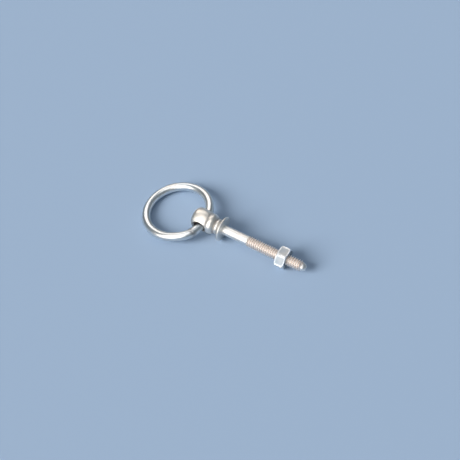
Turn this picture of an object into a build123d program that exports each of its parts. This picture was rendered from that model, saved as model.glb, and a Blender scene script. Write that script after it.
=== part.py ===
from build123d import *
import math
import os

# Ring-head eye bolt, 1/4-20 UNC by 2 in, with its welded ring and one hex nut.
# Millimetres. The origin is the centre of the collar's seating face, +X runs along the
# bolt to its threaded tip, the eye's hole runs along Y, and +Z is up as the bolt lies.

# Threaded shank
thread_diameter = 6.35
thread_pitch = 25.4 / 20
crest_allowance = 0.025
shank_length = 50.8
body_radius = 2.76
plain_length = 15.2
runout_length = 1.1
body_to_core_length = 0.5
point_length = 2.4
point_bend = (-0.9, 1.95)
tip_radius = 1.1
crest_radius = thread_diameter / 2 - crest_allowance
thread_depth = 0.6134 * thread_pitch
root_radius = crest_radius - thread_depth
ridge_sunk = 0.06
ridge_early_start = 0.8
ridge_overrun = 1.0
fade_in_start = (-0.5, -0.15)
fade_in_end = (0.0, -0.03)
fade_out_start = -3.6
fade_out_end = -2.2
fade_out_depth = 0.07
crest_margin = 0.01
least_ridge_volume = 150.0

# Collar under the head
collar_radius = 7.2
collar_thickness = 1.4
rim_bulge = 0.5
seat_fillet = 0.3

# Turned head, neck and beads, as (distance along the axis, radius)
head_end = (-19.4, 0)
head_dome = (-19.3, 2.2)
head_shoulder_start = (-19.0, 3.8)
head_shoulder = (-18.2, 5.3)
head_side_start = (-16.5, 6.15)
head_side = (-13.2, 6.35)
first_groove = (-9.4, 5.6)
large_bead = (-8.0, 5.9)
second_groove = (-4.9, 4.05)
small_bead = (-3.75, 4.5)
third_groove = (-2.6, 4.0)
collar_root = (-collar_thickness, 4.7)
collar_cove = (-1.85, 4.1)

# Hole through the head for the ring
eye_x = -13.1
hole_radius = 3.6
hole_half_length = 6.4
hole_cutter_margin = 2.0
flare_start = 4.6
flare_bend = 2.5

# Ring of round wire, welded shut through the eye
wire_radius = 2.5
ring_inner_radius = 16.0
wire_drop = 0.55
ring_mean_radius = ring_inner_radius + wire_radius

# Hex nut
nut_across_flats = 11.11
nut_thickness = 5.7
nut_centre_x = 37.05
nut_bore_clearance = 0.05
nut_bore_radius = crest_radius + nut_bore_clearance
nut_mouth_radius = 3.55
nut_chamfer_angle = 30.0
nut_face_ratio = 0.96
nut_turn = 4.0
nut_corner_radius = nut_across_flats / math.sqrt(3)


def revolved(outline, axis):
    """Solid swept by turning a closed outline in the XY plane about an axis."""
    return revolve(make_face(outline), axis=axis)


def thread_ridge():
    """One right-hand 60 degree ridge wound from before the run-out to past the tip."""
    start = plain_length - ridge_early_start
    helix = Helix(
        pitch=thread_pitch,
        height=shank_length - start + ridge_overrun,
        radius=root_radius,
        center=(start, 0, 0),
        direction=(1, 0, 0),
    )
    foot = helix @ 0
    outward = (foot - Vector(start, 0, 0)).normalized()
    section_plane = Plane(origin=foot, x_dir=outward, z_dir=outward.cross(Vector(1, 0, 0)))
    half_crest = thread_pitch / 16
    half_foot = half_crest + (thread_depth + ridge_sunk) * math.tan(math.radians(30))
    section = section_plane * Polygon(
        (-ridge_sunk, -half_foot),
        (thread_depth, -half_crest),
        (thread_depth, half_crest),
        (-ridge_sunk, half_foot),
        align=None,
    )
    return sweep(section, path=helix, is_frenet=True)


def thread_envelope():
    """Shape that fades the ridge in at the run-out and trims it to the pointed tip."""
    crest = crest_radius + crest_margin
    start_x = plain_length + fade_in_start[0]
    end_x = shank_length + fade_out_end
    outline = Polyline(
        (start_x, 0),
        (start_x, body_radius + fade_in_start[1]),
        (plain_length + fade_in_end[0], body_radius + fade_in_end[1]),
        (plain_length + runout_length, crest),
        (shank_length + fade_out_start, crest),
        (end_x, root_radius - fade_out_depth),
        (end_x, 0),
        close=True,
    )
    return revolved(outline, Axis.X)


def turned_blank():
    """Head, neck, collar, plain body and thread core: all that is round about the bolt's axis."""
    collar_back = -collar_thickness
    rim_edge = collar_radius - rim_bulge
    groove_end = plain_length + body_to_core_length
    core_end = shank_length - point_length
    bend = (shank_length + point_bend[0], point_bend[1])
    outline = Curve() + [
        ThreePointArc(head_end, head_dome, head_shoulder_start),
        ThreePointArc(head_shoulder_start, head_shoulder, head_side_start),
        ThreePointArc(head_side_start, head_side, first_groove),
        ThreePointArc(first_groove, large_bead, second_groove),
        ThreePointArc(second_groove, small_bead, third_groove),
        ThreePointArc(third_groove, collar_cove, collar_root),
        Line(collar_root, (collar_back, rim_edge)),
        ThreePointArc((collar_back, rim_edge), (collar_back / 2, collar_radius), (0, rim_edge)),
        Line((0, rim_edge), (0, body_radius + seat_fillet)),
        RadiusArc((0, body_radius + seat_fillet), (seat_fillet, body_radius), -seat_fillet),
        Line((seat_fillet, body_radius), (plain_length, body_radius)),
        Line((plain_length, body_radius), (groove_end, root_radius)),
        Line((groove_end, root_radius), (core_end, root_radius)),
        ThreePointArc((core_end, root_radius), bend, (shank_length, tip_radius)),
        Line((shank_length, tip_radius), (shank_length, 0)),
        Line((shank_length, 0), head_end),
    ]
    return revolved(outline, Axis.X)


def eye_hole():
    """The cross hole, plain in the middle and flared to each mouth so that no edge is sharp."""
    outside = hole_half_length + hole_cutter_margin
    spread = flare_bend - math.sqrt(flare_bend**2 - (hole_half_length - flare_start) ** 2)
    mouth_radius = hole_radius + spread
    outline = Curve() + [
        Line((0, -outside), (mouth_radius, -outside)),
        Line((mouth_radius, -outside), (mouth_radius, -hole_half_length)),
        RadiusArc((mouth_radius, -hole_half_length), (hole_radius, -flare_start), -flare_bend),
        Line((hole_radius, -flare_start), (hole_radius, flare_start)),
        RadiusArc((hole_radius, flare_start), (mouth_radius, hole_half_length), -flare_bend),
        Line((mouth_radius, hole_half_length), (mouth_radius, outside)),
        Line((mouth_radius, outside), (0, outside)),
        Line((0, outside), (0, -outside)),
    ]
    return Pos(eye_x, 0, 0) * revolved(outline, Axis.Y)


def make_eye_bolt():
    """Head, neck, collar and threaded shank in one forged and turned piece."""
    blank = turned_blank()
    bolt = blank + (thread_ridge() & thread_envelope())
    if bolt.volume < blank.volume + least_ridge_volume:
        raise ValueError("the thread's ridge did not join the core")
    return bolt - eye_hole()


def ring_reach():
    """Distance from the eye's axis to the ring's centre, with the wire's bow shared both ways."""
    bow = ring_mean_radius - math.sqrt(ring_mean_radius**2 - hole_half_length**2)
    return ring_mean_radius - bow / 2


def table_slope():
    """Tilt of the table when the bolt rests on its collar's rim and the nut's lowest corner."""
    nut_drop = nut_corner_radius * math.sin(math.radians(60 + nut_turn))
    rise = collar_radius - nut_drop
    return math.atan2(rise, nut_centre_x + nut_thickness / 2 + collar_thickness / 2)


def lying_angle():
    """Angle of the ring's plane below the bolt's axis, with its far side on the table."""
    slope = table_slope()
    collar_contact_x = -collar_thickness / 2
    eye_height = math.cos(slope) * (collar_radius + math.tan(slope) * (collar_contact_x - eye_x))
    wire_height = eye_height - wire_drop * math.cos(slope)
    return slope + math.asin((wire_height - wire_radius) / (ring_reach() + ring_mean_radius))


def make_ring():
    """Closed ring through the eye, low in the hole, its far side resting on the table."""
    angle = lying_angle()
    reach = ring_reach()
    centre_x = eye_x - reach * math.cos(angle) + wire_drop * math.sin(angle)
    centre_z = -reach * math.sin(angle) - wire_drop * math.cos(angle)
    ring = Torus(ring_mean_radius, wire_radius)
    return Pos(centre_x, 0, centre_z) * Rot(0, -math.degrees(angle), 0) * ring


def make_nut():
    """Hex nut, a flat nearly facing down, its faces chamfered and its bore's mouths relieved."""
    half = nut_thickness / 2
    face_radius = nut_face_ratio * nut_across_flats / 2
    fall = (nut_corner_radius - face_radius) * math.tan(math.radians(nut_chamfer_angle))
    mouth_depth = nut_mouth_radius - nut_bore_radius
    hexagon = Plane.YZ * RegularPolygon(nut_corner_radius, 6, rotation=-nut_turn)
    prism = extrude(hexagon, amount=half, both=True)
    cones = revolved(
        Polyline(
            (-half, 0),
            (-half, face_radius),
            (fall - half, nut_corner_radius),
            (half - fall, nut_corner_radius),
            (half, face_radius),
            (half, 0),
            close=True,
        ),
        Axis.X,
    )
    bore = revolved(
        Polyline(
            (-half, 0),
            (-half, nut_mouth_radius),
            (mouth_depth - half, nut_bore_radius),
            (half - mouth_depth, nut_bore_radius),
            (half, nut_mouth_radius),
            (half, 0),
            close=True,
        ),
        Axis.X,
    )
    return Pos(nut_centre_x, 0, 0) * ((prism & cones) - bore)


pieces = {
    "eye_bolt": make_eye_bolt(),
    "ring": make_ring(),
    "hex_nut": make_nut(),
}

os.makedirs("parts", exist_ok=True)
for name, piece in pieces.items():
    export_step(piece, f"parts/{name}.step")
    box = piece.bounding_box()
    print(name, f"{piece.volume:.1f} mm3", box.min, box.max)
print(f"ring lies {math.degrees(lying_angle()):.3f} degrees below the axis")
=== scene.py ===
import math

import bmesh
import bpy
from mathutils import Matrix, Vector


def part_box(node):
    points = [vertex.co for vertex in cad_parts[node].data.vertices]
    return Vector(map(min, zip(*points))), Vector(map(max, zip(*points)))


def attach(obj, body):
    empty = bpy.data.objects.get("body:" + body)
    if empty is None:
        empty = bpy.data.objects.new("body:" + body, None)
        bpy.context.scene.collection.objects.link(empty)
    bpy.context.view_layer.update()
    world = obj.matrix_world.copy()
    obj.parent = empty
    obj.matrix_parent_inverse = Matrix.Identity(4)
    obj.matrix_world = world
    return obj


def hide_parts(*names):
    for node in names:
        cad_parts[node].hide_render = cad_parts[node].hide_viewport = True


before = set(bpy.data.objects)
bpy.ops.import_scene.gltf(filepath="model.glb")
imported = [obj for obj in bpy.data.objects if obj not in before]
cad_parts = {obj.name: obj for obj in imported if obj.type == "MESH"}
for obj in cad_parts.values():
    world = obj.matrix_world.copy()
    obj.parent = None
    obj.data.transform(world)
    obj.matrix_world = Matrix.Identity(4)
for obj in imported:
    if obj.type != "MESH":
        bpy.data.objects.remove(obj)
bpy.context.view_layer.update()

# Looks for the eye bolt with its welded ring and hex nut. Metres, in the CAD's frame:
# the origin is the middle of the collar's seat and +X runs along the bolt to its tip.

MM = 0.001

# Camera
TARGET = Vector((3.12, 1.38, 0.0)) * MM
CAMERA_DISTANCE = 398.16 * MM
CAMERA_AZIMUTH = math.radians(32.45)
CAMERA_ELEVATION = math.radians(56.18)
CAMERA_ROLL = math.radians(-2.52)
SENSOR_WIDTH = 36.0
LENS = 56.35
CLIP_START = 0.01

# Colours of the lights, and the strength of the surround
WHITE = (1.0, 1.0, 1.0)
WINDOW_COLOUR = (1.0, 0.985, 0.96)
BACK_COLOUR = (1.0, 0.93, 0.88)
SKY_COLOUR = (1.0, 0.99, 0.97)
SURROUND_COLOUR = (0.60, 0.74, 0.88, 1)
SURROUND_STRENGTH = 0.24

# Table
TABLE_HALF = 12.0
TABLE_COLOUR = (0.40, 0.52, 0.69, 1)
TABLE_ROUGHNESS = 0.85
TABLE_SPECULAR = 0.25

# Places on the bolt, from its CAD shape
EYE_X = -13.1 * MM
HOLE_RADIUS = 3.6 * MM
THREAD_START = 15.2 * MM
THREAD_PITCH = 1.27 * MM
POINT_START = 48.5 * MM
THREAD_CREST = 3.15 * MM
THREAD_ROOT = 2.371 * MM
COLLAR_THICKNESS = 1.4 * MM
GROOVES = (-9.4 * MM, -4.9 * MM, -2.2 * MM)

# Ring of round wire
WIRE_RADIUS = 2.5 * MM
RING_RADIUS = 18.5 * MM
RING_STEPS = 360
WIRE_STEPS = 56
WELD_ANGLE = math.radians(-32)
WELD_WIDTH = 1.5 * MM
WELD_RISE = 0.26 * MM
SEAM_DEPTH = 0.20 * MM
SEAM_WIDTH = 0.38 * MM
STRAIGHT_ANGLE = math.radians(-38)
STRAIGHT_SPREAD = math.radians(15)
STRAIGHT_PUSH = 0.55 * MM
RIPPLE_WIDE = 0.25 * MM
RIPPLE_FINE = 0.12 * MM
LEAST_RISE = 0.35
DRAWN_WAVE = 0.012 * MM


# ---------------------------------------------------------------- camera, floor and lights


def make_camera():
    """Camera at the viewing angle, looking down along the bolt's right side."""
    across = Vector((math.cos(CAMERA_AZIMUTH), math.sin(CAMERA_AZIMUTH), 0))
    back = Vector(
        (
            math.sin(CAMERA_AZIMUTH) * math.cos(CAMERA_ELEVATION),
            -math.cos(CAMERA_AZIMUTH) * math.cos(CAMERA_ELEVATION),
            math.sin(CAMERA_ELEVATION),
        )
    )
    upward = back.cross(across)
    right = across * math.cos(CAMERA_ROLL) + upward * math.sin(CAMERA_ROLL)
    up = back.cross(right)
    data = bpy.data.cameras.new("camera")
    data.lens = LENS
    data.sensor_width = SENSOR_WIDTH
    data.clip_start = CLIP_START
    camera = bpy.data.objects.new("camera", data)
    turn = Matrix((right, up, back)).transposed().to_4x4()
    camera.matrix_world = Matrix.Translation(TARGET + back * CAMERA_DISTANCE) @ turn
    bpy.context.scene.collection.objects.link(camera)
    bpy.context.scene.camera = camera


def make_area_light(name, place, size, power, colour):
    """Soft box turned to the object. It shows only in the metal, and doesn't light the table."""
    data = bpy.data.lights.new(name, "AREA")
    data.shape = "RECTANGLE"
    data.size, data.size_y = size
    data.energy = power
    data.color = colour
    light = bpy.data.objects.new(name, data)
    light.location = place
    light.rotation_euler = (TARGET - Vector(place)).to_track_quat("-Z", "Y").to_euler()
    light.visible_diffuse = False
    bpy.context.scene.collection.objects.link(light)


def make_sun(name, place, strength, spread, colour):
    """Even soft light that lights the table and casts the shadows, but isn't seen in the metal."""
    data = bpy.data.lights.new(name, "SUN")
    data.energy = strength
    data.angle = spread
    data.color = colour
    sun = bpy.data.objects.new(name, data)
    sun.rotation_euler = (-Vector(place)).to_track_quat("-Z", "Y").to_euler()
    sun.visible_glossy = False
    bpy.context.scene.collection.objects.link(sun)


def make_lights():
    """Three soft boxes for the metal, two suns for the table and its shadows, and a dim surround."""
    make_area_light("window", (-0.14, -0.83, 0.54), (0.95, 0.95), 8.0, WINDOW_COLOUR)
    make_area_light("back_box", (-0.48, 0.56, 0.67), (0.95, 0.5), 2.7, BACK_COLOUR)
    make_area_light("overhead", (-0.10, -0.20, 1.2), (0.9, 0.9), 3.9, WHITE)
    make_sun("sky_front", (-0.52, -0.70, 0.58), 3.1, math.radians(36), SKY_COLOUR)
    make_sun("sky_top", (0.0, 0.0, 1.0), 0.35, math.radians(80), WHITE)
    world = bpy.data.worlds.new("surround")
    world.use_nodes = True
    background = world.node_tree.nodes["Background"]
    background.inputs["Color"].default_value = SURROUND_COLOUR
    background.inputs["Strength"].default_value = SURROUND_STRENGTH
    bpy.context.scene.world = world
    bpy.context.scene.view_settings.view_transform = "Standard"


def make_floor():
    """Pale table that the collar's rim, the nut's lowest corner and the ring's far side rest on."""
    collar_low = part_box("eye_bolt")[0].z
    nut_low, nut_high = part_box("hex_nut")
    collar_x = -COLLAR_THICKNESS / 2
    slope = math.atan2(nut_low.z - collar_low, nut_high.x - collar_x)
    mesh = bpy.data.meshes.new("table_top")
    signs = ((-1, -1), (1, -1), (1, 1), (-1, 1))
    corners = [(TABLE_HALF * x_sign, TABLE_HALF * y_sign, 0) for x_sign, y_sign in signs]
    mesh.from_pydata(corners, [], [(0, 1, 2, 3)])
    floor = bpy.data.objects.new("table_top", mesh)
    floor.location = (collar_x, 0, collar_low)
    floor.rotation_euler = (0, -slope, 0)
    bpy.context.scene.collection.objects.link(floor)
    material, nodes = new_material("table_paper")
    shader = nodes["Principled BSDF"]
    shader.inputs["Base Color"].default_value = TABLE_COLOUR
    shader.inputs["Roughness"].default_value = TABLE_ROUGHNESS
    shader.inputs["Specular IOR Level"].default_value = TABLE_SPECULAR
    mesh.materials.append(material)


# ---------------------------------------------------------------- node helpers


def new_material(name):
    """Empty principled material and its nodes."""
    material = bpy.data.materials.new(name)
    material.use_nodes = True
    return material, material.node_tree.nodes


NOISE_ROUGHNESS = 0.55


class Recipe:
    """Builds one material's nodes, keeping its links short to write."""

    def __init__(self, name):
        self.material, self.nodes = new_material(name)
        self.links = self.material.node_tree.links
        self.shader = self.nodes["Principled BSDF"]
        self.place = self.nodes.new("ShaderNodeTexCoord").outputs["Object"]

    def put(self, socket, value):
        """Link a socket, or set it where the value is a number or a colour."""
        if isinstance(value, bpy.types.NodeSocket):
            self.links.new(value, socket)
        else:
            socket.default_value = value

    def math(self, operation, first, second=0.0):
        """One sum on one or two values."""
        node = self.nodes.new("ShaderNodeMath")
        node.operation = operation
        self.put(node.inputs[0], first)
        self.put(node.inputs[1], second)
        return node.outputs[0]

    def ramp(self, value, low, high, out_low=0.0, out_high=1.0):
        """Smooth step from out_low at low to out_high at high."""
        node = self.nodes.new("ShaderNodeMapRange")
        node.interpolation_type = "SMOOTHSTEP"
        self.put(node.inputs["Value"], value)
        node.inputs["From Min"].default_value = low
        node.inputs["From Max"].default_value = high
        node.inputs["To Min"].default_value = out_low
        node.inputs["To Max"].default_value = out_high
        return node.outputs["Result"]

    def noise(self, scale, detail=3.0, stretch=(1, 1, 1), place=None):
        """Smooth noise over the object, or over another set of coordinates."""
        mapping = self.nodes.new("ShaderNodeMapping")
        self.links.new(place or self.place, mapping.inputs["Vector"])
        mapping.inputs["Scale"].default_value = stretch
        node = self.nodes.new("ShaderNodeTexNoise")
        self.links.new(mapping.outputs["Vector"], node.inputs["Vector"])
        node.inputs["Scale"].default_value = scale
        node.inputs["Detail"].default_value = detail
        node.inputs["Roughness"].default_value = NOISE_ROUGHNESS
        return node.outputs["Fac"]

    def mix(self, share, first, second):
        """Blend of two colours."""
        node = self.nodes.new("ShaderNodeMix")
        node.data_type = "RGBA"
        self.put(node.inputs["Factor"], share)
        self.put(node.inputs[6], first)
        self.put(node.inputs[7], second)
        return node.outputs[2]

    def colours(self, value, stops):
        """Colour ramp through (position, colour) stops."""
        node = self.nodes.new("ShaderNodeValToRGB")
        self.links.new(value, node.inputs["Fac"])
        elements = node.color_ramp.elements
        while len(elements) < len(stops):
            elements.new(0.5)
        for element, (position, colour) in zip(elements, stops):
            element.position = position
            element.color = colour
        return node.outputs["Color"]

    def split(self):
        """X, Y and Z of the place, and the distance from the bolt's axis."""
        node = self.nodes.new("ShaderNodeSeparateXYZ")
        self.links.new(self.place, node.inputs["Vector"])
        x, y, z = node.outputs
        squares = self.math("ADD", self.math("MULTIPLY", y, y), self.math("MULTIPLY", z, z))
        out = self.math("SQRT", squares)
        return x, y, z, out

    def bump(self, height, strength, distance, normal=None):
        """Relief from a height, over an earlier relief if there is one."""
        node = self.nodes.new("ShaderNodeBump")
        node.inputs["Strength"].default_value = strength
        node.inputs["Distance"].default_value = distance
        self.links.new(height, node.inputs["Height"])
        if normal is not None:
            self.links.new(normal, node.inputs["Normal"])
        return node.outputs["Normal"]

    def finish(self, colour, roughness, normal):
        """Join the colour, roughness and relief to a bare metal."""
        self.put(self.shader.inputs["Base Color"], colour)
        self.put(self.shader.inputs["Roughness"], roughness)
        self.put(self.shader.inputs["Normal"], normal)
        self.shader.inputs["Metallic"].default_value = 1.0
        return self.material


def zinc_tints(recipe, tints, scale):
    """Clear-passivated zinc: patches that lean cool, plain or warm."""
    cool, plain, warm = tints
    patches = recipe.noise(scale, detail=2.0)
    return recipe.colours(patches, [(0.34, cool), (0.5, plain), (0.66, warm)])


# ---------------------------------------------------------------- materials

# Tints lean cool, plain and warm. Roughness is for the smoothest and the dullest grain.
SHANK_TINTS = ((0.87, 0.87, 0.86, 1), (0.91, 0.89, 0.85, 1), (0.92, 0.86, 0.80, 1))
HEAD_TINTS = ((0.84, 0.81, 0.77, 1), (0.88, 0.83, 0.75, 1), (0.89, 0.80, 0.71, 1))
NUT_TINTS = ((0.44, 0.49, 0.52, 1), (0.50, 0.53, 0.56, 1), (0.54, 0.55, 0.55, 1))
RING_TINTS = ((0.75, 0.79, 0.81, 1), (0.81, 0.82, 0.80, 1), (0.83, 0.80, 0.76, 1))
# Painted shade in the thread's roots; the crests take the lighter colour.
THREAD_ROOT_SHADE_COLOUR = (0.85, 0.76, 0.70, 1)
THREAD_CREST_COLOUR = (0.95, 0.89, 0.83, 1)
# Painted shade with some grime, for the grooves between the head's beads.
GROOVE_GRIME_AND_SHADE_COLOUR = (0.46, 0.43, 0.41, 1)
# Painted shade with dull oxide, for the inside of the eye hole.
EYE_OXIDE_AND_SHADE_COLOUR = (0.30, 0.28, 0.27, 1)
WORN_EDGE_COLOUR = (0.92, 0.93, 0.93, 1)
BORE_COLOUR = (0.34, 0.34, 0.35, 1)
WELD_COLOUR = (0.36, 0.35, 0.35, 1)
BOLT_ROUGHNESS = (0.34, 0.48)
NUT_ROUGHNESS = (0.40, 0.52)
RING_ROUGHNESS = (0.26, 0.38)


def bolt_zinc():
    """Turned and plated head and shank, warmer rolled thread painted darker in its roots as shade, eye
    hole painted dark as shade and dull oxide, grooves painted darker as shade with some grime.
    """
    r = Recipe("bolt_zinc")
    x, y, z, out = r.split()
    shank = zinc_tints(r, SHANK_TINTS, 160)
    head = zinc_tints(r, HEAD_TINTS, 160)
    base = r.mix(r.ramp(x, -COLLAR_THICKNESS, COLLAR_THICKNESS), head, shank)

    past_start = r.ramp(x, THREAD_START - 0.3 * MM, THREAD_START + 0.6 * MM)
    before_point = r.ramp(x, POINT_START - 0.4 * MM, POINT_START + 0.3 * MM, 1.0, 0.0)
    threaded = r.math("MULTIPLY", past_start, before_point)
    # Painted shade: the thread is coloured darker towards its roots and lighter on its crests.
    crest = r.ramp(out, THREAD_ROOT + 0.2 * MM, THREAD_CREST - 0.05 * MM)
    flank = r.mix(crest, THREAD_ROOT_SHADE_COLOUR, THREAD_CREST_COLOUR)
    colour = r.mix(threaded, base, flank)

    # Painted shade with some grime: the turned grooves between the beads are coloured darker, more so
    # in patches.
    grime_and_shade = None
    for groove in GROOVES:
        near = r.ramp(r.math("ABSOLUTE", r.math("SUBTRACT", x, groove)), 0.2 * MM, 1.1 * MM, 1.0, 0.0)
        grime_and_shade = near if grime_and_shade is None else r.math("MAXIMUM", grime_and_shade, near)
    grime_and_shade = r.math("MULTIPLY", grime_and_shade, r.ramp(r.noise(500), 0.3, 0.7, 0.35, 0.9))
    colour = r.mix(grime_and_shade, colour, GROOVE_GRIME_AND_SHADE_COLOUR)

    # Painted shade with dull oxide: the inside of the eye hole is coloured dark.
    along = r.math("SUBTRACT", x, EYE_X)
    from_eye = r.math("SQRT", r.math("ADD", r.math("MULTIPLY", along, along), r.math("MULTIPLY", z, z)))
    eye_oxide_and_shade = r.ramp(from_eye, HOLE_RADIUS + 0.05 * MM, HOLE_RADIUS + 0.5 * MM, 1.0, 0.0)
    in_head = r.ramp(x, -10.2 * MM, -9.2 * MM, 1.0, 0.0)
    eye_oxide_and_shade = r.math("MULTIPLY", eye_oxide_and_shade, in_head)
    colour = r.mix(eye_oxide_and_shade, colour, EYE_OXIDE_AND_SHADE_COLOUR)

    grain = r.noise(2600, detail=4.0)
    rough = r.ramp(grain, 0.3, 0.7, *BOLT_ROUGHNESS)
    rough = r.math("ADD", rough, r.math("MULTIPLY", r.math("ADD", grime_and_shade, eye_oxide_and_shade), 0.2))
    rough = r.math("ADD", rough, r.math("MULTIPLY", threaded, 0.14))

    marks = r.nodes.new("ShaderNodeTexWave")
    marks.bands_direction = "X"
    r.links.new(r.place, marks.inputs["Vector"])
    marks.inputs["Scale"].default_value = 1100
    marks.inputs["Distortion"].default_value = 2.5
    marks.inputs["Detail"].default_value = 3.0
    marks.inputs["Detail Scale"].default_value = 1.5
    turned = r.math("MULTIPLY", marks.outputs["Fac"], r.math("SUBTRACT", 1.0, threaded))
    normal = r.bump(turned, 0.25, 0.012 * MM)
    normal = r.bump(r.noise(420, detail=3.0), 0.35, 0.10 * MM, normal)
    normal = r.bump(grain, 0.30, 0.02 * MM, normal)
    return r.finish(colour, rough, normal)


def nut_zinc():
    """Bluish satin zinc with drawn lines along the flats, rubbed edges and a dull threaded bore."""
    r = Recipe("nut_zinc")
    x, y, z, out = r.split()
    base = zinc_tints(r, NUT_TINTS, 220)
    low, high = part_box("hex_nut")
    middle = (low.x + high.x) / 2
    half = (high.x - low.x) / 2
    from_middle = r.math("ABSOLUTE", r.math("SUBTRACT", x, middle))
    corner = r.ramp(out, 5.80 * MM, 6.20 * MM)
    near_face = r.ramp(from_middle, half - 1.0 * MM, half - 0.3 * MM)
    rim = r.math("MULTIPLY", near_face, r.ramp(out, 5.0 * MM, 5.6 * MM))
    wear = r.math("MAXIMUM", corner, rim)
    wear = r.math("MULTIPLY", wear, r.ramp(r.noise(900), 0.30, 0.62, 0.35, 1.0))
    bore = r.ramp(out, 3.3 * MM, 3.7 * MM, 1.0, 0.0)
    colour = r.mix(wear, base, WORN_EDGE_COLOUR)
    colour = r.mix(bore, colour, BORE_COLOUR)
    grain = r.noise(3000, detail=4.0)
    rough = r.ramp(grain, 0.3, 0.7, *NUT_ROUGHNESS)
    rough = r.math("SUBTRACT", rough, r.math("MULTIPLY", wear, 0.14))
    lines = r.noise(1800, detail=2.0, stretch=(0.08, 1, 1))
    normal = r.bump(lines, 0.25, 0.03 * MM)
    turn = r.math("MULTIPLY", r.math("ARCTAN2", z, y), 1 / (2 * math.pi))
    wound = r.math("FRACT", r.math("ADD", r.math("MULTIPLY", x, 1 / THREAD_PITCH), turn))
    ridge = r.math("MULTIPLY", r.math("PINGPONG", wound, 0.5), bore)
    normal = r.bump(ridge, 1.0, 1.2 * MM, normal)
    normal = r.bump(r.noise(350), 0.30, 0.10 * MM, normal)
    normal = r.bump(grain, 0.25, 0.02 * MM, normal)
    return r.finish(colour, rough, normal)


def ring_zinc():
    """Bright plated wire with faint drawn streaks along it and a duller weld."""
    r = Recipe("ring_zinc")
    uv = r.nodes.new("ShaderNodeUVMap")
    uv.uv_map = "wire"
    base = zinc_tints(r, RING_TINTS, 110)
    heat = r.nodes.new("ShaderNodeAttribute")
    heat.attribute_name = "weld"
    weld = r.math("MULTIPLY", heat.outputs["Fac"], r.ramp(r.noise(700), 0.3, 0.7, 0.5, 1.0))
    colour = r.mix(weld, base, WELD_COLOUR)
    streaks = r.noise(1.0, detail=3.0, stretch=(90, 60, 1), place=uv.outputs["UV"])
    grain = r.noise(2400, detail=4.0)
    drawn = r.math("MULTIPLY", r.math("ADD", streaks, grain), 0.5)
    rough = r.ramp(drawn, 0.30, 0.70, *RING_ROUGHNESS)
    rough = r.math("ADD", rough, r.math("MULTIPLY", weld, 0.16))
    normal = r.bump(streaks, 0.10, 0.02 * MM)
    normal = r.bump(r.noise(160), 0.25, 0.12 * MM, normal)
    normal = r.bump(grain, 0.05, 0.01 * MM, normal)
    return r.finish(colour, rough, normal)


# ---------------------------------------------------------------- ring


def ring_frame():
    """Centre of the ring and its three directions: towards the eye, along Y, and its axis."""
    low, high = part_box("ring")
    span = (high.x - low.x) / 2 - WIRE_RADIUS
    tilt = math.acos(span / RING_RADIUS)
    centre = (low + high) / 2
    toward_eye = Vector((math.cos(tilt), 0, math.sin(tilt)))
    sideways = Vector((0, 1, 0))
    return centre, toward_eye, sideways, toward_eye.cross(sideways)


def wire_surface(angle, around):
    """Wire radius and weld share at a place on the ring: a slight bead with a seam along it."""
    offset = (angle - WELD_ANGLE) * RING_RADIUS
    ripple = RIPPLE_WIDE * math.sin(3 * around + 0.7) + RIPPLE_FINE * math.sin(7 * around)
    bead = math.exp(-(((offset - ripple) / WELD_WIDTH) ** 2))
    seam = math.exp(-(((offset - ripple) / SEAM_WIDTH) ** 2))
    ground = 0.5 - 0.5 * math.cos(around - math.pi / 2)
    rise = WELD_RISE * bead * (LEAST_RISE + (1 - LEAST_RISE) * ground) - SEAM_DEPTH * seam
    drawn = DRAWN_WAVE * math.sin(5 * angle + 1.3) * math.sin(2 * around)
    return WIRE_RADIUS + rise + drawn, bead


def make_ring():
    """The ring's wire as a swept mesh with its weld and a straighter stretch beside it."""
    centre, toward_eye, sideways, axis = ring_frame()
    mesh = bpy.data.meshes.new("ring_wire")
    work = bmesh.new()
    weld_layer = work.verts.layers.float.new("weld")
    uv_layer = work.loops.layers.uv.new("wire")
    rows = []
    for i in range(RING_STEPS):
        angle = -math.pi + 2 * math.pi * i / RING_STEPS
        outward = toward_eye * math.cos(angle) + sideways * math.sin(angle)
        push = STRAIGHT_PUSH * math.exp(-(((angle - STRAIGHT_ANGLE) / STRAIGHT_SPREAD) ** 2))
        middle = centre + outward * (RING_RADIUS + push)
        row = []
        for j in range(WIRE_STEPS):
            around = 2 * math.pi * j / WIRE_STEPS
            radius, weld = wire_surface(angle, around)
            direction = outward * math.cos(around) + axis * math.sin(around)
            vert = work.verts.new(middle + direction * radius)
            vert[weld_layer] = weld
            row.append(vert)
        rows.append(row)
    for i in range(RING_STEPS):
        for j in range(WIRE_STEPS):
            after, beside = (i + 1) % RING_STEPS, (j + 1) % WIRE_STEPS
            face = work.faces.new((rows[i][j], rows[after][j], rows[after][beside], rows[i][beside]))
            face.smooth = True
            corners = ((i, j), (i + 1, j), (i + 1, j + 1), (i, j + 1))
            for loop, (along, round_wire) in zip(face.loops, corners):
                loop[uv_layer].uv = (along / RING_STEPS, round_wire / WIRE_STEPS)
    bmesh.ops.recalc_face_normals(work, faces=work.faces)
    work.to_mesh(mesh)
    work.free()
    mesh.materials.append(ring_zinc())
    ring = bpy.data.objects.new("ring_wire", mesh)
    bpy.context.scene.collection.objects.link(ring)
    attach(ring, "ring")
    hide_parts("ring")


def dress(node, material):
    """Give a CAD node that keeps its shape its own material."""
    slots = node.material_slots
    if not slots:
        node.data.materials.append(material)
    for slot in slots:
        slot.material = material


make_camera()
make_lights()
make_floor()
dress(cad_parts["eye_bolt"], bolt_zinc())
dress(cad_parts["hex_nut"], nut_zinc())
make_ring()
